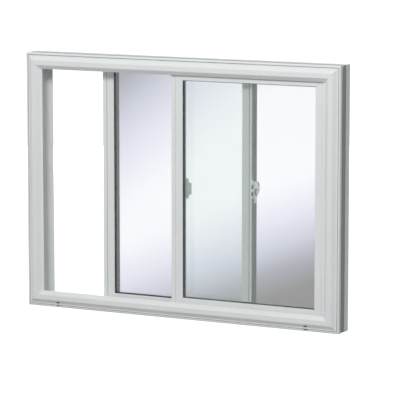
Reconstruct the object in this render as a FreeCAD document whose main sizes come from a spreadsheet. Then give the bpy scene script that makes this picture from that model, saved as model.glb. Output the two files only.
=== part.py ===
import FreeCAD, Part
import Sketcher
import math
import os
import re

# Two-sash horizontal sliding window in white extruded plastic, in millimetres.
# X runs along the width, Y from outside to the room, Z up. The origin is under the middle of the frame.

sizes = {
    # whole frame
    "frame_width": (1219, "outside width"),
    "frame_height": (914, "outside height"),
    # frame section, measured inwards from the outer edge and back from the front face
    "rim_radius": (5, "rounded outer edge of the front lip"),
    "lip_width": (13, "flat lip round the outside"),
    "lip_groove_gap": (1.5, "flat between the rounded edge and the groove in the lip"),
    "lip_groove_width": (2.5, "groove in the lip"),
    "lip_groove_depth": (2, "groove in the lip"),
    "slope_width": (13, "slope from the lip up to the front face"),
    "face_width": (17, "flat front face"),
    "bevel_width": (14, "bevel from the front face to the opening"),
    "moulding_rise": (10, "front face ahead of the lip"),
    "leg_setback": (4, "back of the outside leg behind the lip"),
    "leg_thickness": (3, "legs that part the tracks"),
    "leg_round": (1, "rounded tips of the legs"),
    "face_round": (4, "rounded edges of the front face"),
    "rear_round": (4, "rounded outer edge of the room side"),
    "outer_floor": (22, "floor of the outside track"),
    "inner_floor": (8, "floor of the room-side track"),
    "divider_tip": (38, "tip of the leg between the tracks"),
    "room_leg_tip": (36, "tip of the room-side leg"),
    "recess_setback": (15, "outer recess behind the lip"),
    "recess_width": (35, "width of the outer recess"),
    "recess_depth": (6, "depth of the outer recess"),
    # strips in the jambs
    "liner_face": (36, "face of the jamb liners from the outer edge"),
    "room_stop_tip": (62, "tip of the room-side stops from the outer edge"),
    "front_stop_tip": (65, "tip of the front stops from the outer edge"),
    "fit_gap": (0.3, "gap where a piece seats in another"),
    # sashes
    "running_gap": (5, "clearance of a sash to what it passes"),
    "sash_thickness": (26, "sash from front to back"),
    "member_width": (44, "visible width of rails and stiles"),
    "sash_lift": (9, "sash edge above the track floor"),
    "inner_opening": (243.5, "how far the inner sash stands open"),
    "outer_opening": (11, "how far the outer sash stands from its closed place"),
    "flange_width": (15, "stepped-back outer flange of a sash member"),
    "flange_step": (1.5, "depth of that step"),
    "flange_groove_width": (2, "groove beside the flange"),
    "flange_groove_depth": (4, "groove beside the flange, from the front of the sash"),
    "groove_width": (12, "roller groove in the outer edge of a sash"),
    "groove_depth": (9, "depth of the roller groove"),
    "glazing_leg": (3, "outside glazing leg"),
    "rebate_floor": (30, "floor of the glazing rebate from the sash edge"),
    "bead_overlap": (2, "room-side bead beyond the outside leg"),
    "bead_thickness": (6, "room-side bead"),
    "bead_chamfer": (2, "sloped edge of the bead and of the outside leg"),
    # double glazing
    "gasket_thickness": (1.5, "glazing gasket"),
    "gasket_reach": (0.5, "gasket beyond the leg that holds it"),
    "gasket_width": (10, "gasket from edge to edge"),
    "pane_thickness": (3, "one sheet of glass"),
    "pane_edge_gap": (2, "glass edge to the rebate floor"),
    "spacer_reach": (1, "spacer beyond the outside leg"),
    "spacer_width": (12, "spacer from edge to edge"),
    # rollers and tracks
    "track_base_width": (12, "foot of a roller track"),
    "track_base": (1.5, "thickness of that foot"),
    "track_rib": (3, "rib that the wheels run on"),
    "track_height": (4, "rib above the track floor"),
    "roller_inset": (40, "roller carriage from the sash's corner"),
    "carriage_length": (50, "roller carriage"),
    "wheel_radius": (5, "roller wheel"),
    "wheel_width": (5, "roller wheel"),
    "axle_radius": (1.6, "axle of the wheel"),
    "wheel_slot_gap": (1, "wheel to the walls of its slot"),
    # weep drains
    "weep_inset": (124, "middle of a drain from the end of the sill"),
    "weep_width": (14, "drain slot"),
    "weep_low": (15, "bottom of the slot"),
    "weep_rise": (5, "height of the slot"),
    "weep_depth": (14, "slot into the sill"),
    "drip_low": (4.5, "bottom of the drip slot in the lip"),
    "drip_rise": (3.5, "height of the drip slot"),
    "drip_depth": (12, "drip slot behind the lip"),
    "cover_thickness": (1.5, "drain flap"),
    "cover_gap": (1, "flap above the bottom of its slot"),
    # lock
    "lock_height": (459, "middle of the lock"),
    "lock_base_length": (75, "lock base"),
    "lock_base_width": (20, "lock base"),
    "lock_base_thickness": (2.5, "lock base"),
    "ring_length": (50, "raised ring on the lock base"),
    "ring_wall": (4, "wall of that ring"),
    "ring_rise": (5, "top of the ring from the sash"),
    "boss_radius": (5.5, "boss under the lever"),
    "base_hole_radius": (2.2, "screw hole in the lock base"),
    "base_hole_reach": (14, "screw hole from the middle of the lock"),
    "lock_axis_setback": (8, "lever axis behind the front of the sash"),
    "hub_radius": (7, "lever hub"),
    "cam_thickness": (3.5, "cam plate"),
    "cam_reach": (17, "cam tip from the lever axis"),
    "cam_half_width": (5, "half of the cam's width"),
    "lever_thickness": (4.5, "thumb lever"),
    "lever_width": (10, "thumb lever"),
    "lever_reach": (38, "lever tip from its axis"),
    "lever_bow": (13.5, "back of the bowed lever from its seat"),
    "bow_low": (5, "lower bend of the lever from its axis"),
    "bow_high": (24, "upper bend of the lever from its axis"),
    "keeper_length": (70, "keeper"),
    "keeper_near": (28, "near edge of the keeper from the sash's edge"),
    "keeper_tab_far": (55, "far edge of the keeper's end tabs from the sash's edge"),
    "keeper_far": (63, "far edge of the keeper's middle from the sash's edge"),
    "keeper_tab": (12, "end tab of the keeper"),
    "keeper_splay": (3, "sloped shoulder beside a tab"),
    "keeper_plate": (2.5, "keeper plate"),
    "keeper_lip": (3, "keeper's catch lip"),
    "keeper_rise": (8, "catch lip off the sash"),
    # screw holes in the jambs
    "screw_radius": (2.5, "fixing screw hole"),
    "screw_access_radius": (6, "hole for the screw head in a liner"),
    "screw_inset": (152, "screws from the ends of the jambs"),
}

# Places that follow from those sizes.
derived = {
    "lip_y": "moulding_rise",
    "leg_back_y": "moulding_rise + leg_setback",
    "channel_width": "sash_thickness + 2 * running_gap",
    "outer_channel_end_y": "leg_back_y + channel_width",
    "inner_channel_y": "outer_channel_end_y + leg_thickness",
    "inner_channel_end_y": "inner_channel_y + channel_width",
    "section_depth": "inner_channel_end_y + leg_thickness",
    "lip_groove_start": "rim_radius + lip_groove_gap",
    "lip_groove_end": "lip_groove_start + lip_groove_width",
    "face_start": "lip_width + slope_width",
    "face_end": "face_start + face_width",
    "outside_tip": "face_end + bevel_width",
    "recess_y": "lip_y + recess_setback",
    "recess_end_y": "recess_y + recess_width",
    "front_y": "-section_depth / 2",
    "closed_edge": "frame_width / 2 - liner_face - running_gap",
    "sash_width": "closed_edge + member_width / 2",
    "outer_sash_left": "closed_edge - sash_width - outer_opening",
    "outer_sash_front": "front_y + leg_back_y + running_gap",
    "outer_sash_bottom": "outer_floor + sash_lift",
    "inner_sash_left": "inner_opening - closed_edge",
    "inner_sash_front": "front_y + inner_channel_y + running_gap",
    "inner_sash_bottom": "inner_floor + sash_lift",
    "outer_sash_height": "frame_height - 2 * outer_sash_bottom",
    "inner_sash_height": "frame_height - 2 * inner_sash_bottom",
    "flange_groove_end": "flange_width + flange_groove_width",
    "bead_tip": "member_width + bead_overlap",
    "bead_front": "sash_thickness - bead_thickness",
    "outside_pane_y": "glazing_leg + gasket_thickness",
    "room_gasket_y": "bead_front - gasket_thickness",
    "room_pane_y": "room_gasket_y - pane_thickness",
    "spacer_y": "outside_pane_y + pane_thickness",
    "spacer_depth": "room_pane_y - spacer_y",
    "pane_edge": "rebate_floor + pane_edge_gap",
    "spacer_tip": "member_width + spacer_reach",
    "groove_y": "(sash_thickness - groove_width) / 2",
    "wheel_drop": "sash_lift - track_height - fit_gap",
    "screw_y": "leg_back_y + channel_width / 2",
}

doc = FreeCAD.newDocument("SlidingWindow")
sheet = doc.addObject("Spreadsheet::Sheet", "Sizes")
for row, (name, (number, note)) in enumerate(sizes.items(), start=1):
    sheet.set(f"A{row}", note)
    sheet.set(f"B{row}", str(number))
    sheet.setAlias(f"B{row}", name)
doc.recompute()

subparts = []


def bound(text):
    # a formula in plain size names, with every name replaced by its sheet cell

    def expand(match):
        word = match.group(0)
        if word in derived:
            return f"({bound(derived[word])})"
        if word in sizes:
            return f"Sizes.{word}"
        return word

    return re.sub(r"[a-z_]+", expand, text)


def measure(text):
    return float(sheet.evalExpression(bound(text)))


def bind(thing, **formulas):
    for name, text in formulas.items():
        thing.setExpression(name.replace("__", "."), bound(text))


def place(thing, x, y, z, turn=0):
    # turn is about the Y axis, in degrees
    thing.Placement = FreeCAD.Placement(FreeCAD.Vector(), FreeCAD.Rotation(FreeCAD.Vector(0, 1, 0), turn))
    bind(thing, Placement__Base__x=x, Placement__Base__y=y, Placement__Base__z=z)


def new_subpart(kind, label):
    thing = doc.addObject(kind, label)
    thing.Label = label
    subparts.append(thing)
    return thing


def new_sketch(body, name, plane):
    sketch = body.newObject("Sketcher::SketchObject", name)
    support = [item for item in body.Origin.OriginFeatures if item.Role == plane][0]
    sketch.AttachmentSupport = [(support, "")]
    sketch.MapMode = "FlatFace"
    return sketch


def pin_point(sketch, line, end, across, up):
    # ties one end of a line to the sketch origin by two bound distances
    for kind, text in (("DistanceX", across), ("DistanceY", up)):
        rule = Sketcher.Constraint(kind, -1, 1, line, end, measure(text))
        number = sketch.addConstraint(rule)
        sketch.setExpression(f"Constraints[{number}]", bound(text))


def add_outline(sketch, corners):
    first = sketch.GeometryCount
    count = len(corners)
    points = [FreeCAD.Vector(measure(across), measure(up), 0) for across, up in corners]
    for i, point in enumerate(points):
        sketch.addGeometry(Part.LineSegment(point, points[(i + 1) % count]), False)
    for i in range(count):
        following = first + (i + 1) % count
        sketch.addConstraint(Sketcher.Constraint("Coincident", first + i, 2, following, 1))
    for i, (across, up) in enumerate(corners):
        pin_point(sketch, first + i, 1, across, up)


def add_rectangle(sketch, low_across, low_up, high_across, high_up):
    low_corner = (low_across, low_up)
    high_corner = (high_across, high_up)
    add_outline(sketch, [low_corner, (high_across, low_up), high_corner, (low_across, high_up)])


def add_circle(sketch, across, up, radius):
    centre = FreeCAD.Vector(measure(across), measure(up), 0)
    circle = sketch.addGeometry(Part.Circle(centre, FreeCAD.Vector(0, 0, 1), measure(radius)), False)
    pin_point(sketch, circle, 3, across, up)
    number = sketch.addConstraint(Sketcher.Constraint("Radius", circle, measure(radius)))
    sketch.setExpression(f"Constraints[{number}]", bound(radius))


def pad(body, sketch, length):
    feature = body.newObject("PartDesign::Pad", sketch.Name + "Pad")
    feature.Profile = sketch
    bind(feature, Length=length)
    return feature


def pocket(body, sketch, length, reverse=False):
    feature = body.newObject("PartDesign::Pocket", sketch.Name + "Pocket")
    feature.Profile = sketch
    feature.Reversed = reverse
    bind(feature, Length=length)
    before = body.Shape.Volume
    doc.recompute()
    if not body.Shape.Volume < before:
        raise RuntimeError(f"{feature.Name} cuts nothing")
    return feature


def round_edges(body, base, spots, radius):
    # rounds the edges that run along the section at the given (depth, height) spots
    doc.recompute()
    wanted = [(measure(depth), measure(height)) for depth, height in spots]
    names = []
    for number, edge in enumerate(base.Shape.Edges, start=1):
        for depth, height in wanted:
            if all(abs(v.Y - depth) + abs(v.Z - height) < 1e-4 for v in edge.Vertexes):
                names.append(f"Edge{number}")
    feature = body.newObject("PartDesign::Fillet", body.Name + "_round_" + radius)
    feature.Base = (base, names)
    bind(feature, Radius=radius)
    return feature


def mitred_length(label, section, length, reach, rounds):
    # an extrusion along X from a section in (depth, height), with both ends cut at 45 degrees
    body = new_subpart("PartDesign::Body", label)
    sketch = new_sketch(body, label + "_section", "YZ_Plane")
    add_outline(sketch, section)
    feature = pad(body, sketch, length)
    for spots, radius in rounds:
        feature = round_edges(body, feature, spots, radius)
    doc.recompute()
    ends = new_sketch(body, label + "_mitres", "XZ_Plane")
    add_outline(ends, [("0", "0"), ("0", reach), (reach, reach)])
    add_outline(ends, [(length, "0"), (length, reach), (f"{length} - ({reach})", reach)])
    pocket(body, ends, "section_depth")
    return body


# The four frame members share one section.
# Depth runs back from the front face, height in from the outer edge.
frame_section = [
    ("lip_y", "0"),
    ("lip_y", "lip_groove_start"),
    ("lip_y + lip_groove_depth", "(lip_groove_start + lip_groove_end) / 2"),
    ("lip_y", "lip_groove_end"),
    ("lip_y", "lip_width"),
    ("0", "face_start"),
    ("0", "face_end"),
    ("leg_back_y - leg_thickness", "outside_tip"),
    ("leg_back_y", "outside_tip"),
    ("leg_back_y", "outer_floor"),
    ("outer_channel_end_y", "outer_floor"),
    ("outer_channel_end_y", "divider_tip"),
    ("inner_channel_y", "divider_tip"),
    ("inner_channel_y", "inner_floor"),
    ("inner_channel_end_y", "inner_floor"),
    ("inner_channel_end_y", "room_leg_tip"),
    ("section_depth", "room_leg_tip"),
    ("section_depth", "0"),
    ("recess_end_y", "0"),
    ("recess_end_y", "recess_depth"),
    ("recess_y", "recess_depth"),
    ("recess_y", "0"),
]
frame_rounds = [
    ([("lip_y", "0")], "rim_radius"),
    ([("0", "face_start"), ("0", "face_end")], "face_round"),
    ([("leg_back_y", "outside_tip"), ("leg_back_y - leg_thickness", "outside_tip")], "leg_round"),
    ([("section_depth", "0")], "rear_round"),
]


def frame_member(label, length):
    return mitred_length(label, frame_section, length, "outside_tip + leg_thickness", frame_rounds)


def make_frame():
    sill = frame_member("frame_sill", "frame_width")
    place(sill, "-frame_width / 2", "front_y", "0")
    cut_weeps(sill)
    head = frame_member("frame_head", "frame_width")
    place(head, "frame_width / 2", "front_y", "frame_height", 180)
    left = frame_member("frame_left_jamb", "frame_height")
    place(left, "-frame_width / 2", "front_y", "frame_height", 90)
    right = frame_member("frame_right_jamb", "frame_height")
    place(right, "frame_width / 2", "front_y", "0", -90)
    for jamb in (left, right):
        drill_screws(jamb)


def cut_weeps(sill):
    # near each end a slot in the slope, a duct from it up to the outside track, and a drip slot in the lip
    low_edges = ("weep_inset - weep_width / 2", "frame_width - weep_inset - weep_width / 2")
    for name, bottom, top, depth in (
        ("weep_slots", "weep_low", "weep_low + weep_rise", "weep_depth"),
        ("drip_slots", "drip_low", "drip_low + drip_rise", "drip_depth"),
    ):
        cuts = new_sketch(sill, name, "XZ_Plane")
        for low in low_edges:
            add_rectangle(cuts, low, bottom, f"{low} + weep_width", top)
        pocket(sill, cuts, f"lip_y + {depth}")
    ducts = new_sketch(sill, "weep_ducts", "XY_Plane")
    for low in low_edges:
        add_rectangle(ducts, low, "leg_back_y", f"{low} + weep_width", "lip_y + weep_depth")
    bind(ducts, AttachmentOffset__Base__z="weep_low")
    pocket(sill, ducts, "outer_floor", True)


def drill_screws(jamb):
    holes = new_sketch(jamb, jamb.Name + "_screws", "XY_Plane")
    for along in ("screw_inset", "frame_height - screw_inset"):
        add_circle(holes, along, "screw_y", "screw_radius")
    pocket(jamb, holes, "outer_floor + leg_thickness", True)


def make_jamb_strips():
    # liners stand in the jamb channels, and the stops carry the outside and room-side legs further in
    for side, sign, turn in (("left", "-", 0), ("right", "", 180)):
        outer = liner(f"{side}_outer_jamb_liner", "outer_floor", True)
        inner = liner(f"{side}_inner_jamb_liner", "inner_floor", False)
        lift = "0" if turn == 0 else "frame_height"
        for strip, channel in ((outer, "leg_back_y"), (inner, "inner_channel_y")):
            place(strip, f"{sign}frame_width / 2", f"front_y + {channel}", lift, turn)
        for face, leg, tip, depth in (
            ("room", "room_leg_tip", "room_stop_tip", "inner_channel_end_y"),
            ("front", "outside_tip", "front_stop_tip", "leg_back_y - leg_thickness"),
        ):
            stop = new_subpart("Part::Box", f"{side}_jamb_{face}_stop")
            bind(stop, Length=f"{tip} - ({leg})", Width="leg_thickness")
            bind(stop, Height=f"frame_height - 2 * ({leg} + fit_gap)")
            edge = f"-frame_width / 2 + {leg}" if turn == 0 else f"frame_width / 2 - {tip}"
            place(stop, edge, f"front_y + {depth}", f"{leg} + fit_gap")


def liner(label, floor, drilled):
    body = new_subpart("PartDesign::Body", label)
    sketch = new_sketch(body, label + "_section", "XY_Plane")
    add_rectangle(sketch, floor, "fit_gap", "liner_face", "channel_width - fit_gap")
    bind(sketch, AttachmentOffset__Base__z=floor)
    pad(body, sketch, f"frame_height - 2 * {floor}")
    if drilled:
        doc.recompute()
        holes = new_sketch(body, label + "_access", "YZ_Plane")
        for up in ("screw_inset", "frame_height - screw_inset"):
            add_circle(holes, "channel_width / 2", up, "screw_access_radius")
        pocket(body, holes, "liner_face + fit_gap", True)
    return body


def make_tracks():
    for label, channel, floor in (
        ("outer_sill_track", "leg_back_y", "outer_floor"),
        ("inner_sill_track", "inner_channel_y", "inner_floor"),
    ):
        body = new_subpart("PartDesign::Body", label)
        sketch = new_sketch(body, label + "_section", "YZ_Plane")
        foot = "track_base_width / 2"
        rib = "track_rib / 2"
        outline = [(f"-{foot}", "0"), (foot, "0"), (foot, "track_base"), (rib, "track_base")]
        outline += [(rib, "track_height"), (f"-{rib}", "track_height")]
        outline += [(f"-{rib}", "track_base"), (f"-{foot}", "track_base")]
        add_outline(sketch, outline)
        pad(body, sketch, "frame_width - 2 * (liner_face + fit_gap)")
        middle = f"front_y + {channel} + channel_width / 2"
        place(body, "liner_face + fit_gap - frame_width / 2", middle, floor)


def make_weep_covers():
    # a flap in each drain slot, hung from the top of the slot
    reach = "(frame_width / 2 - weep_inset)"
    for side, middle in (("left", f"-{reach}"), ("right", reach)):
        cover = new_subpart("Part::Box", f"{side}_weep_cover")
        bind(cover, Length="weep_width", Width="cover_thickness", Height="weep_rise - cover_gap")
        place(cover, f"{middle} - weep_width / 2", "front_y + lip_y", "weep_low + cover_gap")


# The eight sash members share one section. Height runs in from the outer edge of the sash.
sash_section = [
    ("flange_step", "0"),
    ("flange_step", "flange_width"),
    ("flange_groove_depth", "flange_width"),
    ("flange_groove_depth", "flange_groove_end"),
    ("0", "flange_groove_end"),
    ("0", "member_width - bead_chamfer"),
    ("bead_chamfer", "member_width"),
    ("glazing_leg", "member_width"),
    ("glazing_leg", "rebate_floor"),
    ("bead_front", "rebate_floor"),
    ("bead_front", "bead_tip"),
    ("sash_thickness - bead_chamfer", "bead_tip"),
    ("sash_thickness", "bead_tip - bead_chamfer"),
    ("sash_thickness", "0"),
    ("groove_y + groove_width", "0"),
    ("groove_y + groove_width", "groove_depth"),
    ("groove_y", "groove_depth"),
    ("groove_y", "0"),
]


def make_sash(sash):
    left = f"{sash}_left"
    front = f"{sash}_front"
    bottom = f"{sash}_bottom"
    height = f"{sash}_height"
    right = f"{left} + sash_width"
    top = f"{bottom} + {height}"
    members = (
        ("bottom_rail", "sash_width", left, bottom, 0),
        ("top_rail", "sash_width", right, top, 180),
        ("left_stile", height, left, top, 90),
        ("right_stile", height, right, bottom, -90),
    )
    for name, length, x, z, turn in members:
        member = mitred_length(f"{sash}_{name}", sash_section, length, "bead_tip + bead_chamfer", [])
        place(member, x, front, z, turn)
    make_glazing(sash, left, front, bottom, height)
    make_roller(f"{sash}_left_roller", f"{left} + roller_inset", front, bottom)
    make_roller(f"{sash}_right_roller", f"{right} - roller_inset - carriage_length", front, bottom)


def make_glazing(sash, left, front, bottom, height):
    for name, depth in (("outside_pane", "outside_pane_y"), ("room_pane", "room_pane_y")):
        sheet_of_glass = new_subpart("Part::Box", f"{sash}_{name}")
        bind(sheet_of_glass, Length="sash_width - 2 * pane_edge", Width="pane_thickness")
        bind(sheet_of_glass, Height=f"{height} - 2 * pane_edge")
        place(sheet_of_glass, f"{left} + pane_edge", f"{front} + {depth}", f"{bottom} + pane_edge")
    outside_tip = "member_width + gasket_reach"
    room_tip = "bead_tip + gasket_reach"
    rings = (
        ("outside_gasket", f"{outside_tip} - gasket_width", outside_tip, "glazing_leg", "gasket_thickness"),
        ("spacer", "spacer_tip - spacer_width", "spacer_tip", "spacer_y", "spacer_depth"),
        ("room_gasket", f"{room_tip} - gasket_width", room_tip, "room_gasket_y", "gasket_thickness"),
    )
    for name, outer, inner, depth, thickness in rings:
        body = new_subpart("PartDesign::Body", f"{sash}_{name}")
        sketch = new_sketch(body, f"{sash}_{name}_outline", "XZ_Plane")
        for edge in (outer, inner):
            add_rectangle(sketch, edge, edge, f"sash_width - ({edge})", f"{height} - ({edge})")
        pad(body, sketch, thickness)
        place(body, left, f"{front} + {depth} + {thickness}", bottom)


def make_roller(label, x, front, bottom):
    # a carriage in the groove, with a slot for its wheel and the wheel on its axle
    carriage = doc.addObject("Part::Box", label + "_carriage")
    bind(carriage, Length="carriage_length", Width="groove_width - 2 * fit_gap", Height="groove_depth")
    place(carriage, "0", "-groove_width / 2 + fit_gap", "0")
    slot = doc.addObject("Part::Box", label + "_slot")
    slot_half = "wheel_radius + wheel_slot_gap"
    bind(slot, Length=f"2 * ({slot_half})", Width="wheel_width + 2 * wheel_slot_gap", Height=slot_half)
    place(slot, f"carriage_length / 2 - ({slot_half})", "-wheel_width / 2 - wheel_slot_gap", "0")
    slotted = doc.addObject("Part::Cut", label + "_slotted")
    slotted.Base = carriage
    slotted.Tool = slot
    wheel = doc.addObject("Part::Cylinder", label + "_wheel")
    bind(wheel, Radius="wheel_radius", Height="wheel_width")
    axle = doc.addObject("Part::Cylinder", label + "_axle")
    bind(axle, Radius="axle_radius", Height="groove_width - 4 * fit_gap")
    for turned, reach in ((wheel, "wheel_width / 2"), (axle, "groove_width / 2 - 2 * fit_gap")):
        quarter_turn = FreeCAD.Rotation(FreeCAD.Vector(1, 0, 0), 90)
        turned.Placement = FreeCAD.Placement(FreeCAD.Vector(), quarter_turn)
        bind(turned, Placement__Base__x="carriage_length / 2", Placement__Base__y=reach)
        bind(turned, Placement__Base__z="wheel_radius - wheel_drop")
    roller = new_subpart("Part::MultiFuse", label)
    roller.Shapes = [slotted, wheel, axle]
    place(roller, x, f"{front} + sash_thickness / 2", bottom)


def add_oval(sketch, half_length, radius):
    # two half circles on the sketch's upright axis, joined by straight sides
    centre_up = measure(half_length) - measure(radius)
    size = measure(radius)
    normal = FreeCAD.Vector(0, 0, 1)
    top_circle = Part.Circle(FreeCAD.Vector(0, centre_up, 0), normal, size)
    low_circle = Part.Circle(FreeCAD.Vector(0, -centre_up, 0), normal, size)
    top = sketch.addGeometry(Part.ArcOfCircle(top_circle, 0, math.pi), False)
    low = sketch.addGeometry(Part.ArcOfCircle(low_circle, math.pi, 2 * math.pi), False)
    corner = [FreeCAD.Vector(x, y, 0) for x in (-size, size) for y in (-centre_up, centre_up)]
    left = sketch.addGeometry(Part.LineSegment(corner[1], corner[0]), False)
    right = sketch.addGeometry(Part.LineSegment(corner[2], corner[3]), False)
    for first, second in ((top, left), (left, low), (low, right), (right, top)):
        sketch.addConstraint(Sketcher.Constraint("Tangent", first, 2, second, 1))
    for arc, sign in ((top, ""), (low, "-")):
        pin_point(sketch, arc, 3, "0", f"{sign}({half_length} - {radius})")
    number = sketch.addConstraint(Sketcher.Constraint("Radius", top, size))
    sketch.setExpression(f"Constraints[{number}]", bound(radius))


def make_lock():
    edge = "inner_sash_left + sash_width"
    make_lock_base(edge)
    make_lever(f"{edge} + ring_rise + fit_gap", "inner_sash_front + lock_axis_setback")


def make_lock_base(edge):
    # a flat plate with a raised ring, two screw holes inside it and a boss that carries the lever
    base = new_subpart("PartDesign::Body", "lock_base")
    plate = new_sketch(base, "lock_base_outline", "YZ_Plane")
    add_oval(plate, "lock_base_length / 2", "lock_base_width / 2")
    pad(base, plate, "lock_base_thickness")
    ring = new_sketch(base, "lock_ring", "YZ_Plane")
    add_oval(ring, "ring_length / 2", "lock_base_width / 2")
    pad(base, ring, "ring_rise")
    doc.recompute()
    hollow = new_sketch(base, "ring_hollow", "YZ_Plane")
    add_oval(hollow, "ring_length / 2 - ring_wall", "lock_base_width / 2 - ring_wall")
    bind(hollow, AttachmentOffset__Base__z="lock_base_thickness")
    pocket(base, hollow, "ring_rise", True)
    holes = new_sketch(base, "base_holes", "YZ_Plane")
    for sign in ("", "-"):
        add_circle(holes, "0", f"{sign}base_hole_reach", "base_hole_radius")
    pocket(base, holes, "lock_base_thickness", True)
    boss = new_sketch(base, "lever_boss", "YZ_Plane")
    add_circle(boss, "lock_axis_setback - sash_thickness / 2", "0", "boss_radius")
    pad(base, boss, "ring_rise")
    place(base, edge, "inner_sash_front + sash_thickness / 2", "lock_height")


def make_lever(seat, axis_y):
    # hub and cam on the boss, and a thumb lever that bows away from the base
    lever = new_subpart("PartDesign::Body", "lock_lever")
    hub = new_sketch(lever, "lever_hub", "YZ_Plane")
    add_circle(hub, "0", "0", "hub_radius")
    pad(lever, hub, "cam_thickness + lever_thickness")
    cam = new_sketch(lever, "lever_cam", "YZ_Plane")
    add_rectangle(cam, "0", "-cam_half_width", "cam_reach", "cam_half_width")
    pad(lever, cam, "cam_thickness")
    arm = new_sketch(lever, "lever_arm", "XZ_Plane")
    bow_inside = "lever_bow - lever_thickness"
    outline = [("cam_thickness", "-bow_low"), ("cam_thickness + lever_thickness", "-bow_low")]
    outline += [("lever_bow", "bow_low"), ("lever_bow", "bow_high"), (bow_inside, "lever_reach")]
    outline += [(f"{bow_inside} - lever_thickness", "lever_reach"), (bow_inside, "bow_high")]
    outline += [(bow_inside, "2 * bow_low"), ("cam_thickness", "bow_low")]
    add_outline(arm, outline)
    bind(arm, AttachmentOffset__Base__z="-lever_width / 2")
    pad(lever, arm, "lever_width")
    place(lever, seat, axis_y, "lock_height")


def make_keeper():
    # a plate with end tabs on the room face of the outer sash's meeting stile; the cam turns behind its lip
    body = new_subpart("PartDesign::Body", "lock_keeper")
    shoulder = "keeper_tab + keeper_splay"
    plate = new_sketch(body, "keeper_plate_outline", "XZ_Plane")
    outline = [("keeper_near", "0"), ("keeper_tab_far", "0"), ("keeper_tab_far", "keeper_tab")]
    outline += [("keeper_far", shoulder), ("keeper_far", f"keeper_length - ({shoulder})")]
    outline += [("keeper_tab_far", "keeper_length - keeper_tab"), ("keeper_tab_far", "keeper_length")]
    outline += [("keeper_near", "keeper_length")]
    add_outline(plate, outline)
    bind(plate, AttachmentOffset__Base__z="-keeper_plate")
    pad(body, plate, "keeper_plate")
    lip = new_sketch(body, "keeper_lip_outline", "XZ_Plane")
    add_rectangle(lip, "keeper_far - keeper_lip", shoulder, "keeper_far", f"keeper_length - ({shoulder})")
    bind(lip, AttachmentOffset__Base__z="-keeper_rise")
    pad(body, lip, "keeper_rise")
    place(body, "outer_sash_left", "outer_sash_front + sash_thickness", "lock_height - keeper_length / 2")


def write_parts():
    doc.recompute()
    for item in doc.Objects:
        if "Invalid" in item.State or "Error" in item.State:
            raise RuntimeError(f"{item.Name} failed: {item.State}")
    for item in subparts:
        if item.Shape.isNull() or not item.Shape.isValid():
            raise RuntimeError(f"{item.Label} has no valid shape")
    os.makedirs("parts", exist_ok=True)
    for item in subparts:
        item.Shape.exportStep(f"parts/{item.Label}.step")
    print(len(subparts), "parts written")


make_frame()
make_jamb_strips()
make_tracks()
make_weep_covers()
for sash_name in ("outer_sash", "inner_sash"):
    make_sash(sash_name)
make_lock()
make_keeper()
write_parts()
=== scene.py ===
import math
import random

import bmesh
import bpy
from mathutils import Matrix, Vector


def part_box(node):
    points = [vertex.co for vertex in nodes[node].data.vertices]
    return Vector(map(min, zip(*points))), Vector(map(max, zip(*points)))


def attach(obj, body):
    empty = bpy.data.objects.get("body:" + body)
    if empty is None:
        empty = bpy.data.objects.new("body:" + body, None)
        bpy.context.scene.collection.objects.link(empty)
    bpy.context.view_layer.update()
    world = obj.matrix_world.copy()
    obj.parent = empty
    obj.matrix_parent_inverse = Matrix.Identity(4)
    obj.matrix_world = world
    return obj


# Two-sash sliding window in white PVC: finishes, small fittings and the studio round the CAD frame.

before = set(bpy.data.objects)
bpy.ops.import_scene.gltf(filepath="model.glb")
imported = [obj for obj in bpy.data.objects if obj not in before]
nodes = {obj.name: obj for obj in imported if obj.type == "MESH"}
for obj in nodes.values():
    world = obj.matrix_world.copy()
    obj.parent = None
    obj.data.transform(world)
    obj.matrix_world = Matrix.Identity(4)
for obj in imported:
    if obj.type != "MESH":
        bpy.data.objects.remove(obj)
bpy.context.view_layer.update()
scene = bpy.context.scene
mm = 0.001
print("frame loaded:", len(nodes), "nodes")


# shared helpers

def toLinear(hexColour):
    channels = [int(hexColour[i:i + 2], 16) / 255 for i in (1, 3, 5)]
    linear = [c / 12.92 if c <= 0.04045 else ((c + 0.055) / 1.055) ** 2.4 for c in channels]
    return (*linear, 1.0)


def addNode(tree, kind, inputs=None, **settings):  # values go on sockets, sockets become links
    node = tree.nodes.new(kind)
    for name, value in settings.items():
        setattr(node, name, value)
    for name, value in (inputs or {}).items():
        if isinstance(value, bpy.types.NodeSocket):
            tree.links.new(value, node.inputs[name])
        else:
            node.inputs[name].default_value = value
    return node


def newMaterial(name):  # with its tree, and coordinates that stay with the piece
    material = bpy.data.materials.new(name)
    material.use_nodes = True
    tree = material.node_tree
    tree.nodes.clear()
    return material, tree, addNode(tree, "ShaderNodeTexCoord").outputs["Object"]


def mathNode(tree, operation, *values):
    return addNode(tree, "ShaderNodeMath", dict(enumerate(values)), operation=operation).outputs[0]


def spread(tree, value, low, high):  # a value from 0 to 1 becomes one between two limits
    return addNode(tree, "ShaderNodeMapRange", {"Value": value, "To Min": low, "To Max": high}).outputs[0]


def fadeOut(tree, value, start, end, low=0.0):  # 1 before the start, low after the end, smooth between
    limits = {"Value": value, "From Min": start, "From Max": end, "To Min": 1.0, "To Max": low}
    return addNode(tree, "ShaderNodeMapRange", limits, interpolation_type="SMOOTHSTEP").outputs[0]


def noise(tree, place, sizeMm, detail=2, **inputs):  # clouds with features of that size
    inputs.update({"Vector": place, "Scale": 1 / (sizeMm * mm), "Detail": detail})
    return addNode(tree, "ShaderNodeTexNoise", inputs).outputs["Fac"]


def cells(tree, place, sizeMm):  # distance from the middle of the nearest cell
    inputs = {"Vector": place, "Scale": 1 / (sizeMm * mm)}
    return addNode(tree, "ShaderNodeTexVoronoi", inputs).outputs["Distance"]


def blend(tree, factor, first, second):  # between two colours, each a value or a socket
    inputs = {"Factor": factor, 6: first, 7: second}   # 6, 7 and output 2 are the node's colour sockets
    return addNode(tree, "ShaderNodeMix", inputs, data_type="RGBA").outputs[2]


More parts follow.
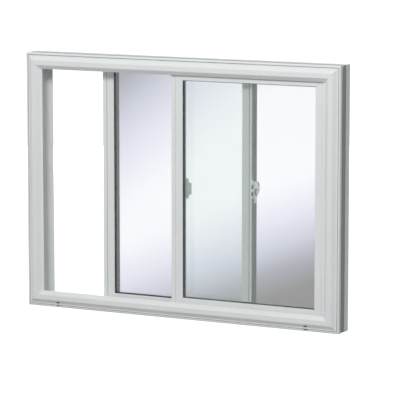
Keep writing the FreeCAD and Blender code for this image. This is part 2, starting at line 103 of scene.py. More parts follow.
def relief(tree, height, depth, over=None, inwards=False):  # depth is a strength and a distance in mm
    strength, distance = depth
    inputs = {"Height": height, "Strength": strength, "Distance": distance * mm}
    if over is not None:
        inputs["Normal"] = over
    return addNode(tree, "ShaderNodeBump", inputs, invert=inwards).outputs[0]


def principled(tree, colour, roughness, inputs):
    inputs = {"Base Color": colour, "Roughness": roughness, **inputs}
    return addNode(tree, "ShaderNodeBsdfPrincipled", inputs).outputs[0]


def shadeFrom(tree, shader):
    addNode(tree, "ShaderNodeOutputMaterial", {"Surface": shader})


# materials: each depth is a bump's strength and its distance in mm

pvc = {
    "white": "#eef0ef", "shade": "#e6e9e8", "driftMm": 180,   # the colour drifts a little along its run
    "lineMm": 1.6, "lineStretch": 0.002, "lineRough": 0.6, "lineDepth": (0.05, 0.15),   # die lines
    "seam": "#d9dddc", "seamHalfMm": 0.5, "seamDepth": (0.5, 0.2),
    "grainMm": 0.7, "grainDepth": (0.06, 0.1), "roughLow": 0.34, "roughHigh": 0.46, "ior": 1.53,
}


def weldSeam(tree, place, group):  # 1 on the corner welds of a mitred rectangle, 0 elsewhere
    low, high = group
    axes = addNode(tree, "ShaderNodeSeparateXYZ", {0: place}).outputs
    insets = []
    for axis, near, far in (("X", low.x, high.x), ("Z", low.z, high.z)):
        offset = mathNode(tree, "SUBTRACT", axes[axis], (near + far) / 2)
        insets.append(mathNode(tree, "SUBTRACT", (far - near) / 2, mathNode(tree, "ABSOLUTE", offset)))
    apart = mathNode(tree, "ABSOLUTE", mathNode(tree, "SUBTRACT", *insets))
    width = pvc["seamHalfMm"] * mm
    return fadeOut(tree, apart, width, 2 * width)


def extrudedPvc(name, run, group):  # satin white: faint draw lines along the run, cleaned welds at the mitres
    material, tree, place = newMaterial(name)
    stretch = [pvc["lineStretch"] if axis == run else 1 for axis in "XYZ"]
    along = addNode(tree, "ShaderNodeMapping", {"Vector": place, "Scale": stretch}).outputs[0]
    lines = noise(tree, along, pvc["lineMm"], detail=3, Roughness=pvc["lineRough"])
    grain = noise(tree, place, pvc["grainMm"])
    drift = noise(tree, place, pvc["driftMm"])
    seam = weldSeam(tree, place, group)
    body = blend(tree, drift, toLinear(pvc["white"]), toLinear(pvc["shade"]))
    colour = blend(tree, seam, body, toLinear(pvc["seam"]))
    rough = spread(tree, lines, pvc["roughLow"], pvc["roughHigh"])
    drawn = relief(tree, lines, pvc["lineDepth"])
    grained = relief(tree, grain, pvc["grainDepth"], drawn)
    welded = relief(tree, seam, pvc["seamDepth"], grained, inwards=True)
    shadeFrom(tree, principled(tree, colour, rough, {"IOR": pvc["ior"], "Normal": welded}))
    return material


floatPane = {"tint": "#fbfdfc", "lampTint": "#eff1f0", "ior": 1.5, "waveMm": 260, "waveDepth": (0.02, 0.2),
             "filmMm": 45, "filmRough": 0.012}


def floatGlass(name):  # clear soda-lime sheet: faint green body, sharp reflections, a slow roller wave
    material, tree, place = newMaterial(name)
    bend = relief(tree, noise(tree, place, floatPane["waveMm"], detail=1), floatPane["waveDepth"])
    rough = spread(tree, noise(tree, place, floatPane["filmMm"], detail=3), 0.0, floatPane["filmRough"])
    sheet = principled(tree, toLinear(floatPane["tint"]), rough,
                       {"Transmission Weight": 1.0, "IOR": floatPane["ior"], "Normal": bend})
    clear = addNode(tree, "ShaderNodeBsdfTransparent", {"Color": toLinear(floatPane["lampTint"])}).outputs[0]
    path = addNode(tree, "ShaderNodeLightPath").outputs   # light goes straight through to what is behind
    light = mathNode(tree, "MAXIMUM", path["Is Shadow Ray"], path["Is Diffuse Ray"])
    shadeFrom(tree, addNode(tree, "ShaderNodeMixShader", {0: light, 1: sheet, 2: clear}).outputs[0])
    return material


# painted shadow: the grey tone darkens the strips in the lip groove and at the flange step
rubber = {"black": "#0d0e0f", "blackWorn": "#17181a", "grey": "#6d7173", "greyWorn": "#7b7f81",
          # painted shade: the trim tone darkens the meeting trim and the pull rail, where there is only shade
          "trim": "#585f5d", "trimWorn": "#616866", "poreMm": 0.9, "poreDepth": (0.2, 0.1), "bloomMm": 35,
          "roughness": 0.72, "ior": 1.5, "shine": 0.25}


def extrudedRubber(name, tone):  # dull soft extrusion, with a fine skin and a slightly greyer bloom
    material, tree, place = newMaterial(name)
    bloom = noise(tree, place, rubber["bloomMm"])
    colour = blend(tree, bloom, toLinear(rubber[tone]), toLinear(rubber[tone + "Worn"]))
    skin = relief(tree, noise(tree, place, rubber["poreMm"], detail=3), rubber["poreDepth"])
    shadeFrom(tree, principled(tree, colour, rubber["roughness"],
                               {"IOR": rubber["ior"], "Specular IOR Level": rubber["shine"], "Normal": skin}))
    return material


moulded = {"nylon": "#d8d6cf", "nylonShade": "#c9c7bf", "pvc": "#eceeed", "pvcShade": "#e2e5e4",
           "grainMm": 1.1, "grainDepth": (0.15, 0.1), "driftMm": 12, "roughness": 0.45, "ior": 1.53}


def mouldedPlastic(name, kind):  # small mouldings: even colour under a soft spark-eroded grain
    material, tree, place = newMaterial(name)
    drift = noise(tree, place, moulded["driftMm"])
    colour = blend(tree, drift, toLinear(moulded[kind]), toLinear(moulded[kind + "Shade"]))
    grained = relief(tree, cells(tree, place, moulded["grainMm"]), moulded["grainDepth"])
    shadeFrom(tree, principled(tree, colour, moulded["roughness"],
                               {"IOR": moulded["ior"], "Normal": grained}))
    return material


aluminium = {"colour": "#c9cbcc", "lineMm": 0.8, "lineStretch": 0.02, "lineDepth": (0.15, 0.05),
             "roughLow": 0.28, "roughHigh": 0.42}


def extrudedAluminium(name):  # mill-finish rail: grey, streaked along its length
    material, tree, place = newMaterial(name)
    stretch = (aluminium["lineStretch"], 1, 1)
    along = addNode(tree, "ShaderNodeMapping", {"Vector": place, "Scale": stretch}).outputs[0]
    lines = noise(tree, along, aluminium["lineMm"], detail=4)
    rough = spread(tree, lines, aluminium["roughLow"], aluminium["roughHigh"])
    drawn = relief(tree, lines, aluminium["lineDepth"])
    colour = toLinear(aluminium["colour"])
    shadeFrom(tree, principled(tree, colour, rough, {"Metallic": 1.0, "Normal": drawn}))
    return material


casting = {"grey": "#c6cccb", "greyShade": "#b7bebd", "pale": "#e4e8e7", "paleShade": "#d8dddc",
           "driftMm": 14, "peelMm": 1.4, "peelDepth": (0.08, 0.1), "roughLow": 0.3, "roughHigh": 0.45,
           "metallic": 0.2}


def enamelledCasting(name, tone):  # die casting under smooth enamel, with a faint orange peel
    material, tree, place = newMaterial(name)
    drift = noise(tree, place, casting["driftMm"])
    colour = blend(tree, drift, toLinear(casting[tone]), toLinear(casting[tone + "Shade"]))
    rough = spread(tree, drift, casting["roughLow"], casting["roughHigh"])
    peel = relief(tree, noise(tree, place, casting["peelMm"]), casting["peelDepth"])
    shadeFrom(tree, principled(tree, colour, rough, {"Metallic": casting["metallic"], "Normal": peel}))
    return material


pileFibre = {"tip": "#5f6365", "root": "#333638", "strandMm": 0.6, "strandDepth": (0.5, 0.3),
             "roughness": 0.85, "sheen": 0.3}


def wovenPile(name):  # grey polypropylene pile: matt, dark down between the tufts
    material, tree, place = newMaterial(name)
    strands = noise(tree, place, pileFibre["strandMm"], detail=3)
    colour = blend(tree, strands, toLinear(pileFibre["root"]), toLinear(pileFibre["tip"]))
    tufted = relief(tree, strands, pileFibre["strandDepth"])
    shadeFrom(tree, principled(tree, colour, pileFibre["roughness"],
                               {"Sheen Weight": pileFibre["sheen"], "Normal": tufted}))
    return material


foam = {"grey": "#bfc2c3", "cell": "#a2a6a7", "cellMm": 1.8, "cellDepth": (0.6, 0.4), "roughness": 0.95}


def recessShadeFoam(name):  # grey strip that stands in for the shadow in the frame's side recess (painted shade): dead matt and pitted, with painted shade darker in the pits
    material, tree, place = newMaterial(name)
    pits = cells(tree, place, foam["cellMm"])
    colour = blend(tree, pits, toLinear(foam["cell"]), toLinear(foam["grey"]))
    pitted = relief(tree, pits, foam["cellDepth"])
    shadeFrom(tree, principled(tree, colour, foam["roughness"], {"Normal": pitted}))
    return material


steel = {"colour": "#5a5d5f", "tarnish": "#46494b", "spotMm": 1.2, "roughLow": 0.35, "roughHigh": 0.55}


def oxidisedSteel(name):  # dark oxide on a small screw: dim metal, a little mottled
    material, tree, place = newMaterial(name)
    spots = noise(tree, place, steel["spotMm"], detail=3)
    colour = blend(tree, spots, toLinear(steel["colour"]), toLinear(steel["tarnish"]))
    rough = spread(tree, spots, steel["roughLow"], steel["roughHigh"])
    shadeFrom(tree, principled(tree, colour, rough, {"Metallic": 1.0}))
    return material


def around(prefix):  # the box that a mitred set of members fills
    boxes = [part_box(name) for name in nodes if name.startswith(prefix)]
    low = Vector([min(box[0][i] for box in boxes) for i in range(3)])
    high = Vector([max(box[1][i] for box in boxes) for i in range(3)])
    return low, high


groups = {"frame": around("frame_"), "outer": around("outer_sash_"), "inner": around("inner_sash_")}
materials = {
    "glass": floatGlass("clear_float_glass"),
    "rubber": extrudedRubber("extruded_epdm_rubber", "black"),
    # painted shadow: grey for the strips that stand in for shade in the lip groove and at the flange step
    "greyRubber": extrudedRubber("extruded_grey_epdm", "grey"),
    # painted shade: this dark grey stands in for shade on the meeting stile's side and the pull rail's wall
    "trim": extrudedRubber("extruded_flexible_pvc", "trim"),
    "nylon": mouldedPlastic("moulded_nylon", "nylon"),
    "mouldedPvc": mouldedPlastic("moulded_pvc", "pvc"),
    "aluminium": extrudedAluminium("mill_extruded_aluminium"),
    "keeper": enamelledCasting("grey_enamelled_zinc", "grey"),
    "lock": enamelledCasting("pale_enamelled_zinc", "pale"),
    "pile": wovenPile("woven_polypropylene_pile"),
    "foam": recessShadeFoam("open_cell_foam"),
    "steel": oxidisedSteel("oxidised_steel"),
}
for place, group in groups.items():
    materials[f"{place}PvcX"] = extrudedPvc(f"extruded_pvc_{place}_along_x", "X", group)
    materials[f"{place}PvcZ"] = extrudedPvc(f"extruded_pvc_{place}_along_z", "Z", group)


def finishOf(name):
    if "pane" in name:
        return "glass"
    if any(word in name for word in ("spacer", "gasket", "weep")):
        return "rubber"
    if "roller" in name:
        return "nylon"
    if "track" in name:
        return "aluminium"
    if "lock" in name:
        return "keeper" if "keeper" in name else "lock"
    place = name.split("_")[0] if "_sash_" in name else "frame"
    upright = any(word in name for word in ("jamb", "stile"))
    return f"{place}Pvc" + ("Z" if upright else "X")


for name, node in nodes.items():
    node.data.materials.clear()
    node.data.materials.append(materials[finishOf(name)])
print("materials given to the nodes")


# small fittings, with their sizes in millimetres

smoothBelow = math.radians(40)   # sharper edges than this stay sharp


def addPiece(name, shape, body, finish):  # a finished mesh becomes a piece that rides on its body
    bmesh.ops.recalc_face_normals(shape, faces=shape.faces)
    mesh = bpy.data.meshes.new(name)
    shape.to_mesh(mesh)
    shape.free()
    mesh.shade_smooth()
    mesh.set_sharp_from_angle(angle=smoothBelow)
    mesh.materials.append(materials[finish])
    piece = bpy.data.objects.new(name, mesh)
    scene.collection.objects.link(piece)
    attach(piece, body)


def roundedSection(corners, radius, steps=4):  # each corner of a section becomes a small curve
    points = []
    for i, corner in enumerate(corners):
        corner = Vector(corner)
        sides = [Vector(corners[i - 1]), Vector(corners[(i + 1) % len(corners)])]
        start, end = [corner + (side - corner).normalized() * radius for side in sides]
        for step in range(steps + 1):
            t = step / steps
            points.append(start * (1 - t) ** 2 + corner * 2 * t * (1 - t) + end * t ** 2)
    return points


def boxSection(near, far, front, back, radius):
    return roundedSection([(near, front), (far, front), (far, back), (near, back)], radius)


def joinRings(shape, rings, closed):  # walls between rows of points, round a loop or capped at both ends
    count = len(rings[0])
    pairs = list(zip(rings, rings[1:])) + ([(rings[-1], rings[0])] if closed else [])
    for here, following in pairs:
        for i in range(count):
            j = (i + 1) % count
            shape.faces.new((here[i], here[j], following[j], following[i]))
    if not closed:
        shape.faces.new(rings[0])
        shape.faces.new(rings[-1])


def ringStrip(section, group):  # a section of (inset, depth) swept round a rectangle, mitred at its corners
    low, high = group[0] / mm, group[1] / mm
    shape = bmesh.new()
    rings = []
    for xSide, zSide in ((0, 0), (1, 0), (1, 1), (0, 1)):
        ring = []
        for inset, depth in section:
            x = high.x - inset if xSide else low.x + inset
            z = high.z - inset if zSide else low.z + inset
            ring.append(shape.verts.new((x * mm, depth * mm, z * mm)))
        rings.append(ring)
    joinRings(shape, rings, True)
    return shape


def uprightStrip(section, low, high):  # a section of (x, y) between two heights, capped
    shape = bmesh.new()
    rings = [[shape.verts.new((x * mm, y * mm, z * mm)) for x, y in section] for z in (low, high)]
    joinRings(shape, rings, False)
    return shape


def circle(radius, height, steps):  # points in metres round Z
    angles = [math.tau * i / steps for i in range(steps)]
    return [(radius * mm * math.cos(a), radius * mm * math.sin(a), height * mm) for a in angles]


def turnedShape(profile, steps=36, closed=False):  # a profile of (radius, height) spun about Z
    shape = bmesh.new()
    circles = [circle(radius, height, steps) for radius, height in profile]
    rings = [[shape.verts.new(point) for point in points] for points in circles]
    joinRings(shape, rings, closed)
    return shape


def roundEnded(halfWide, halfLong, rows, steps=14):  # a round-ended plate, from rows of (inset, rise), capped
    shape = bmesh.new()
    rings = []
    for inset, rise in rows:
        size, straight = halfWide - inset, halfLong - halfWide
        ring = []
        for end in (1, -1):
            for angle in [math.pi * i / steps for i in range(steps + 1)]:
                x, y = end * size * math.cos(angle), end * (straight + size * math.sin(angle))
                ring.append(shape.verts.new((x * mm, y * mm, rise * mm)))
        rings.append(ring)
    joinRings(shape, rings, False)
    return shape


def standOn(shape, seat, facing):  # turns a shape's Z to the way it faces and sets it on its seat
    turn = Vector(facing).to_track_quat("Z", "Y").to_matrix().to_4x4()
    bmesh.ops.transform(shape, matrix=Matrix.Translation(Vector(seat) * mm) @ turn, verts=shape.verts)
    return shape


innerLow, innerHigh = [corner / mm for corner in groups["inner"]]
# painted shadow: the two grey strips below stand in for the dark line of shade in the lip's groove and at the
# inner sash's flange step
lipShadowStrip = {"near": 6.9, "far": 8.6, "front": -35.3, "back": -34.6, "round": 0.25}   # in the groove of the lip
flangeStepShadow = {"near": 15.1, "far": 16.9, "front": 0.7, "back": 3.9, "round": 0.4}   # from the sash's front
# painted shade: grey foam flush in the frame's side recess stands in for the shadow in it
recessShadow = {"near": 0.8, "far": 5.9, "front": -10, "back": 13.7, "round": 2.0}   # leaves the screw holes clear


# sweeps a strip round a rectangle; each strip swept here is painted shade
def shadowStripRound(name, seal, place, body, finish, face=0.0):  # near and far are insets from the outside
    section = boxSection(seal["near"], seal["far"], face + seal["front"], face + seal["back"], seal["round"])
    addPiece(name, ringStrip(section, groups[place]), body, finish)


shadowStripRound("frame_lip_seal", lipShadowStrip, "frame", "frame", "greyRubber")
shadowStripRound("inner_sash_flange_seal", flangeStepShadow, "inner", "inner_sash", "greyRubber", innerLow.y)
shadowStripRound("frame_sealing_tape", recessShadow, "frame", "frame", "foam")

pull = {"wallNear": 42.6, "wallFar": 46, "lipFar": 49.5, "rise": 7.6, "lipThick": 2.6, "round": 0.8,
        "endGap": 46}


def pullRail():  # finger rail on the room face of the inner sash's closing stile, in a grey that paints the shade on its wall
    face = innerHigh.y
    top = face + pull["rise"]
    under = top - pull["lipThick"]
    corners = [(pull["wallNear"], face), (pull["wallNear"], top), (pull["lipFar"], top),
               (pull["lipFar"], under), (pull["wallFar"], under), (pull["wallFar"], face)]
    section = roundedSection([(innerLow.x + inset, y) for inset, y in corners], pull["round"])
    shape = uprightStrip(section, innerLow.z + pull["endGap"], innerHigh.z - pull["endGap"])
    addPiece("inner_sash_pull_rail", shape, "inner_sash", "trim")


pullRail()

interlock = {"thick": 1.2, "lap": 5.5, "flangeStep": 1.5, "back": 38, "round": 0.4, "endGap": 24,
             "lockGap": 2.5}
flangeFace = innerLow.y + interlock["flangeStep"]
lockLow, lockHigh = [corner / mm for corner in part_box("lock_base")]


def meetingTrim():  # trim round the edge of the inner sash's meeting stile, parted by the lock; its grey paints the shade on the stile's side
    edge, thick, back = innerHigh.x, interlock["thick"], interlock["back"]
    inside = edge - interlock["lap"]
    lap = [(edge, flangeFace), (inside, flangeFace), (inside, flangeFace - thick),
           (edge + thick, flangeFace - thick)]
    before, behind = lockLow.y - interlock["round"], lockHigh.y + interlock["round"]
    whole = lap + [(edge + thick, back), (edge, back)]
    front = lap + [(edge + thick, before), (edge, before)]
    rear = [(edge, behind), (edge + thick, behind), (edge + thick, back), (edge, back)]
    under, over = lockLow.z - interlock["lockGap"], lockHigh.z + interlock["lockGap"]
    for name, outline, bottom, top in (
        ("low", whole, innerLow.z + interlock["endGap"], under),
        ("before_lock", front, under, over),
        ("behind_lock", rear, under, over),
        ("high", whole, over, innerHigh.z - interlock["endGap"]),
    ):
        strip = uprightStrip(roundedSection(outline, interlock["round"]), bottom, top)
        addPiece(f"inner_sash_meeting_trim_{name}", strip, "inner_sash", "trim")


meetingTrim()
print("seals, tape, pull rail and meeting trim added")

pile = {"backHalf": 3.6, "backThick": 0.8, "tall": 7.2, "rootHalf": 0.6, "rootSink": 0.2, "tipHalf": 0.35,
        "pitch": 1.5, "rows": (-1.6, 0.0, 1.6), "endGap": 14, "grooveDepth": 9,
        "lean": 0.5, "stray": 0.2, "shorter": 0.8, "seed": 7}   # how uneven the tufts are


def pileStrip(name, place, outward):  # weather pile along the groove in the edge of a stile
    low, high = groups[place][0] / mm, groups[place][1] / mm
    edge = high.x if outward > 0 else low.x
    floor = edge - outward * pile["grooveDepth"]
    middle = (low.y + high.y) / 2
    bottom, top = low.z + pile["endGap"], high.z - pile["endGap"]
    backing = floor + outward * pile["backThick"]
    section = [(floor, middle - pile["backHalf"]), (backing, middle - pile["backHalf"]),
               (backing, middle + pile["backHalf"]), (floor, middle + pile["backHalf"])]
    shape = uprightStrip(section, bottom, top)
    root = backing - outward * pile["rootSink"]
    dice = random.Random(pile["seed"])
    for step in range(int((top - bottom) / pile["pitch"]) - 1):
        for row in pile["rows"]:
            z = bottom + (step + 1 + dice.uniform(-pile["stray"], pile["stray"])) * pile["pitch"]
            lean = [dice.uniform(-1, 1) * pile["lean"] for _ in range(2)]
            tip = backing + outward * (pile["tall"] - dice.uniform(0, pile["shorter"]))
            rings = []
            for x, half, shiftY, shiftZ in ((root, pile["rootHalf"], 0, 0), (tip, pile["tipHalf"], *lean)):
                corners = [(-half, -half), (half, -half), (half, half), (-half, half)]
                points = [(x, middle + row + shiftY + a, z + shiftZ + b) for a, b in corners]
                rings.append([shape.verts.new([value * mm for value in point]) for point in points])
            joinRings(shape, rings, False)
    addPiece(name, shape, f"{place}_sash", "pile")


for place, side, outward in (("outer", "left", -1), ("outer", "right", 1), ("inner", "left", -1)):
    pileStrip(f"{place}_sash_{side}_pile", place, outward)
print("weather pile added")

plug = {"profile": ((0.01, 1.5), (2.5, 1.42), (4.8, 1.1), (6.5, 0.5), (7.0, 0.05),   # low dome
                    (6.9, 0.0), (5.7, 0.0), (5.5, -4.0), (0.01, -4.0)),   # rim and stem
        "heights": (152, 762), "depth": -14}
for side, facing in (("left", 1), ("right", -1)):
    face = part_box(f"{side}_outer_jamb_liner")[1 if side == "left" else 0].x / mm
    for number, height in enumerate(plug["heights"], start=1):
        shape = standOn(turnedShape(plug["profile"]), (face, plug["depth"], height), (facing, 0, 0))
        addPiece(f"{side}_hole_plug_{number}", shape, "frame", "mouldedPvc")

screw = {"radius": 3.1, "rise": 1.2, "armLong": 1.9, "armHalf": 0.42, "recess": 1.0, "steps": 28,
         "dome": ((0.6, 1.0), (0.86, 0.82), (0.98, 0.5), (1.0, 0.0))}   # shares of the radius and the rise


def crossHead():  # small pan head with a cross recess
    shape = bmesh.new()
    long, half = screw["armLong"] * mm, screw["armHalf"] * mm
    top, floor = screw["rise"] * mm, (screw["rise"] - screw["recess"]) * mm
    quarter = [(long, -half), (long, half), (half, half)]
    cross = []
    for turn in range(4):
        c, s = round(math.cos(turn * math.pi / 2)), round(math.sin(turn * math.pi / 2))
        cross += [(c * x - s * y, s * x + c * y) for x, y in quarter]
    rims = [[shape.verts.new((x, y, z)) for x, y in cross] for z in (top, floor)]
    for i in range(len(cross)):
        shape.faces.new((rims[0][i - 1], rims[0][i], rims[1][i], rims[1][i - 1]))
    shape.faces.new(rims[1])
    rings = []
    for share, height in screw["dome"]:
        points = circle(screw["radius"] * share, screw["rise"] * height, screw["steps"])
        rings.append([shape.verts.new(point) for point in points])
    for here, following in zip(rings, rings[1:]):
        for i in range(screw["steps"]):
            shape.faces.new((here[i - 1], here[i], following[i], following[i - 1]))
    shape.faces.new(rings[-1])
    loops = (rims[0], rings[0])   # the flat between the cross and the dome
    edges = [shape.edges.get((loop[i - 1], loop[i])) for loop in loops for i in range(len(loop))]
    bmesh.ops.triangle_fill(shape, use_beauty=True, edges=edges)
    return shape


keeperLow, keeperHigh = [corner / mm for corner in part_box("lock_keeper")]
lockMiddle = (lockLow + lockHigh) / 2
fixing = {"basePlate": 2.5, "baseReach": 14, "keeperPlate": 2.5, "tabMiddle": 6, "tabX": 13.5}
ringFloor = lockLow.x + fixing["basePlate"]

# painted shade: a black lining on the floor of the lock base's ring stands in for the shadow in its hollow
shadowLining = {"halfWide": 5.8, "halfLong": 20.8, "thick": 0.6, "rows": ((0, 0), (0, 0.4), (0.25, 0.6))}
shape = roundEnded(shadowLining["halfWide"], shadowLining["halfLong"], shadowLining["rows"])
seat = (ringFloor, lockMiddle.y, lockMiddle.z)
addPiece("lock_base_lining", standOn(shape, seat, (1, 0, 0)), "inner_sash", "rubber")

facePlate = {"fromEdge": 5.9, "rise": 11, "halfWide": 7, "halfLong": 33, "thick": 2.3,
             "rows": ((0, 0), (0, 1.8), (0.5, 2.3))}   # ear of the lock on the stile's front
shape = roundEnded(facePlate["halfWide"], facePlate["halfLong"], facePlate["rows"])
seat = (lockLow.x - facePlate["fromEdge"], flangeFace, lockMiddle.z + facePlate["rise"])
addPiece("lock_face_plate", standOn(shape, seat, (0, -1, 0)), "inner_sash", "lock")

shadowPad = {"fromEdge": 2.9, "halfWide": 3.4, "halfLong": 7.6, "rows": ((0, 0), (0, 0.5), (0.7, 1.0)),
           "rises": {"high": 19, "low": -6}}   # black pads that meet the other sash; their black is painted shade for the lock's dark openings
for name, rise in shadowPad["rises"].items():
    shape = roundEnded(shadowPad["halfWide"], shadowPad["halfLong"], shadowPad["rows"])
    seat = (lockLow.x - shadowPad["fromEdge"], flangeFace - facePlate["thick"], lockMiddle.z + rise)
    pad = standOn(shape, seat, (0, -1, 0))
    addPiece(f"lock_face_shadow_pad_{name}", pad, "inner_sash", "rubber")

washer = {"profile": ((0.01, 0.4), (5.2, 0.4), (5.7, 0.2), (5.7, 0.0), (0.01, 0.0)), "thick": 0.4}
for name, sign in (("high", 1), ("low", -1)):   # the cam sweeps just over the lower screw
    x, z = ringFloor + shadowLining["thick"], lockMiddle.z + sign * fixing["baseReach"]
    disc = standOn(turnedShape(washer["profile"]), (x, lockMiddle.y, z), (1, 0, 0))
    addPiece(f"lock_base_washer_{name}", disc, "inner_sash", "rubber")
    head = standOn(crossHead(), (x + washer["thick"], lockMiddle.y, z), (1, 0, 0))
    addPiece(f"lock_base_screw_{name}", head, "inner_sash", "steel")
    tab = keeperHigh.z - fixing["tabMiddle"] if sign > 0 else keeperLow.z + fixing["tabMiddle"]
    seat = (keeperLow.x + fixing["tabX"], keeperLow.y + fixing["keeperPlate"], tab)
    head = standOn(crossHead(), seat, (0, 1, 0))
    addPiece(f"keeper_screw_{name}", head, "outer_sash", "steel")

leverLow, leverHigh = [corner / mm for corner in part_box("lock_lever")]
leverAxisY = 20   # depth of the pin that the lever turns on
grip = {"count": 5, "first": 3.0, "spacing": 2.1, "radius": 0.6, "half": 4.2, "bendDrop": 14, "bendIn": 4.5,
        "sink": 0.1, "arc": 8}


def leverGrip():  # ribs across the thumb end of the lever
    start = Vector((leverHigh.x, 0, leverHigh.z - grip["bendDrop"]))
    along = Vector((-grip["bendIn"], 0, grip["bendDrop"])).normalized()
    out = Vector((along.z, 0, -along.x))
    radius = grip["radius"]
    shape = bmesh.new()
    for number in range(grip["count"]):
        centre = start + along * (grip["first"] + number * grip["spacing"])
        foot = centre - out * grip["sink"]
        arc = [foot + along * radius, foot - along * radius]
        angles = [math.pi - math.pi * i / grip["arc"] for i in range(1, grip["arc"])]
        arc += [centre + along * radius * math.cos(a) + out * radius * math.sin(a) for a in angles]
        rings = []
        for y in (leverAxisY - grip["half"], leverAxisY + grip["half"]):
            rings.append([shape.verts.new((point.x * mm, y * mm, point.z * mm)) for point in arc])
        joinRings(shape, rings, False)
    addPiece("lock_lever_grip", shape, "lock_lever", "rubber")


leverGrip()

collar = {"inner": 6.9, "outer": 10, "near": 0.15, "far": 4.2, "edge": 0.6, "steps": 48}   # black wear ring
section = boxSection(collar["inner"], collar["outer"], collar["near"], collar["far"], collar["edge"])
shape = turnedShape(section, collar["steps"], closed=True)
seat = (leverLow.x, leverAxisY, lockMiddle.z)
addPiece("lock_lever_collar", standOn(shape, seat, (1, 0, 0)), "lock_lever", "rubber")
print("plugs, lock trim, screws, lever grip and collar added")


# studio: camera, light, floor and the backdrop that the glass looks on to

view = {
    "place": (3.812559, -7.515785, 1.655288), "yawDeg": 26.49976, "pitchDeg": 8.359096,
    "lensMm": 219.385, "sensorMm": 36, "clipEnd": 200,
}
cameraData = bpy.data.cameras.new("photo_camera")
cameraData.lens = view["lensMm"]
cameraData.sensor_width = view["sensorMm"]
cameraData.clip_end = view["clipEnd"]
camera = bpy.data.objects.new("photo_camera", cameraData)
camera.location = view["place"]
camera.rotation_euler = (math.radians(90 - view["pitchDeg"]), 0, math.radians(view["yawDeg"]))
scene.collection.objects.link(camera)
scene.camera = camera


def seenDirectly(tree):  # 1 for what is seen, also in gloss or through glass, and 0 for light on a surface
    path = addNode(tree, "ShaderNodeLightPath").outputs
    seen = mathNode(tree, "MAXIMUM", path["Is Camera Ray"], path["Is Glossy Ray"])
    return mathNode(tree, "MAXIMUM", seen, path["Is Transmission Ray"])


ambience = {"horizon": 0.0, "zenith": 0.4, "front": 0.32, "brightSide": (-0.4, -0.92, 0), "colour": "#fbfcff"}


def whiteStudio():  # plain white to look at, with soft light from above and from the front left
    world = bpy.data.worlds.new("white_studio")
    scene.world = world
    world.use_nodes = True
    tree = world.node_tree
    tree.nodes.clear()
    outward = addNode(tree, "ShaderNodeTexCoord").outputs["Generated"]
    axes = addNode(tree, "ShaderNodeSeparateXYZ", {0: outward}).outputs
    up = spread(tree, axes["Z"], ambience["horizon"], ambience["zenith"])
    sides = {0: outward, 1: ambience["brightSide"]}
    facing = addNode(tree, "ShaderNodeVectorMath", sides, operation="DOT_PRODUCT").outputs["Value"]
    limits = {"Value": facing, "From Min": -1, "To Max": ambience["front"]}   # nothing from right behind
    ahead = addNode(tree, "ShaderNodeMapRange", limits).outputs[0]
    level = mathNode(tree, "ADD", up, ahead)
    soft = addNode(tree, "ShaderNodeBackground", {"Color": toLinear(ambience["colour"]), "Strength": level})
    white = addNode(tree, "ShaderNodeBackground", {"Color": (1, 1, 1, 1), "Strength": 1.0})
    shaders = {0: seenDirectly(tree), 1: soft.outputs[0], 2: white.outputs[0]}
    sky = addNode(tree, "ShaderNodeMixShader", shaders).outputs[0]
    addNode(tree, "ShaderNodeOutputWorld", {"Surface": sky})


whiteStudio()

backdrop = {
    "place": 0.25, "half": 1.6, "height": 1.6,   # metres: just behind the window, and wider than it
    "underSill": 0.03,   # the floor takes on the paper's tones within this depth, hidden by the sill
    "fadeDown": {"angleDeg": -67.3, "start": -0.394, "width": 0.638, "low": 0.02},
    "fadeUp": {"angleDeg": 128.6, "start": 0.372, "width": 0.887, "low": 0.02},
    "tones": ((0.24, "#7c7a7a"), (0.42, "#9b9ca7"), (0.61, "#c9c9da"), (0.79, "#e4e2f1"), (0.98, "#fbf9ff")),
}


def softFade(tree, place, fade):  # fades across the paper, along a line at that angle
    angle = math.radians(fade["angleDeg"])
    sides = {0: place, 1: (math.cos(angle), 0, math.sin(angle))}
    along = addNode(tree, "ShaderNodeVectorMath", sides, operation="DOT_PRODUCT").outputs["Value"]
    return fadeOut(tree, along, fade["start"], fade["start"] + fade["width"], fade["low"])


def paperGlow(tree, place):  # the graded light of the paper, light in the middle and dark towards two corners
    down, up = [softFade(tree, place, backdrop[name]) for name in ("fadeDown", "fadeUp")]
    ramp = addNode(tree, "ShaderNodeValToRGB", {"Fac": mathNode(tree, "MULTIPLY", down, up)})
    stops = ramp.color_ramp.elements
    while len(stops) < len(backdrop["tones"]):
        stops.new(0.5)   # moved to its place below
    for stop, (position, colour) in zip(stops, backdrop["tones"]):
        stop.position = position
        stop.color = toLinear(colour)
    return addNode(tree, "ShaderNodeEmission", {"Color": ramp.outputs[0], "Strength": 1.0}).outputs[0]


def stagePiece(name, corners, material):  # one flat sheet that belongs to the studio
    mesh = bpy.data.meshes.new(name)
    mesh.from_pydata(corners, [], [(0, 1, 2, 3)])
    mesh.materials.append(material)
    sheet = bpy.data.objects.new(name, mesh)
    scene.collection.objects.link(sheet)
    return sheet


def glassBackdrop():  # lit studio paper, which in the photograph shows only through the panes
    y, half, height = backdrop["place"], backdrop["half"], backdrop["height"]
    material, tree, place = newMaterial("graded_backdrop_paper")
    shadeFrom(tree, paperGlow(tree, place))
    corners = [(-half, y, 0), (half, y, 0), (half, y, height), (-half, y, height)]
    card = stagePiece("studio_backdrop", corners, material)
    card.visible_camera = False
    card.visible_diffuse = False
    card.visible_glossy = False
    card.visible_shadow = False


glassBackdrop()

floorPaper = {"halfM": 60, "white": "#aaaaaa", "roughness": 0.9,
              "glowNear": 0.86, "glowFar": 1.0, "nearM": 2.0, "farM": 7.0}


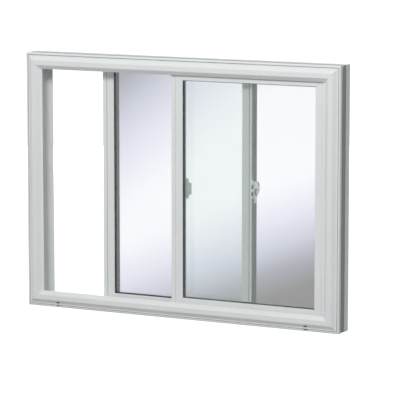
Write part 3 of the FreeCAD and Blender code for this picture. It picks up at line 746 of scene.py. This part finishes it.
def plainFloor():  # glows a little where it is seen, so only the shadow shows
    material, tree, place = newMaterial("white_paper_floor")
    away = addNode(tree, "ShaderNodeVectorMath", {0: place}, operation="LENGTH").outputs["Value"]
    level = addNode(tree, "ShaderNodeMapRange",
                    {"Value": away, "From Min": floorPaper["nearM"], "From Max": floorPaper["farM"],
                     "To Min": floorPaper["glowNear"], "To Max": floorPaper["glowFar"]}).outputs[0]
    glow = mathNode(tree, "MULTIPLY", seenDirectly(tree), level)
    shader = principled(tree, toLinear(floorPaper["white"]), floorPaper["roughness"],
                        {"Specular IOR Level": 0.0, "Emission Color": (1, 1, 1, 1),
                         "Emission Strength": glow})
    axes = addNode(tree, "ShaderNodeSeparateXYZ", {0: place}).outputs
    reach = backdrop["underSill"]
    near = addNode(tree, "ShaderNodeMapRange", {"Value": axes["Y"], "From Min": -reach, "From Max": reach})
    path = addNode(tree, "ShaderNodeLightPath").outputs   # through a pane the paper runs on under the window
    below = mathNode(tree, "MULTIPLY", near.outputs[0], path["Is Transmission Ray"])
    paper = addNode(tree, "ShaderNodeMixShader", {0: below, 1: shader, 2: paperGlow(tree, place)})
    shadeFrom(tree, paper.outputs[0])
    half = floorPaper["halfM"]
    corners = [(-half, -half, 0), (half, -half, 0), (half, half, 0), (-half, half, 0)]
    stagePiece("studio_floor", corners, material)


plainFloor()

lampAim = (0, 0, 0.45)
lamps = {
    "key": {"place": (0.9, -4.5, 3.75), "size": 1.3, "watts": 158},
    "fill": {"place": (-2.2, 4.4, 0.42), "size": 0.84, "watts": 120},   # low behind, for the room side only
}
for name, lamp in lamps.items():
    softbox = bpy.data.lights.new(f"{name}_softbox", "AREA")
    softbox.shape = "SQUARE"
    softbox.size = lamp["size"]
    softbox.energy = lamp["watts"]
    stand = bpy.data.objects.new(f"{name}_softbox", softbox)
    stand.location = lamp["place"]
    stand.rotation_euler = (Vector(lampAim) - stand.location).to_track_quat("-Z", "Y").to_euler()
    scene.collection.objects.link(stand)
scene.view_settings.view_transform = "Standard"
print("studio set")
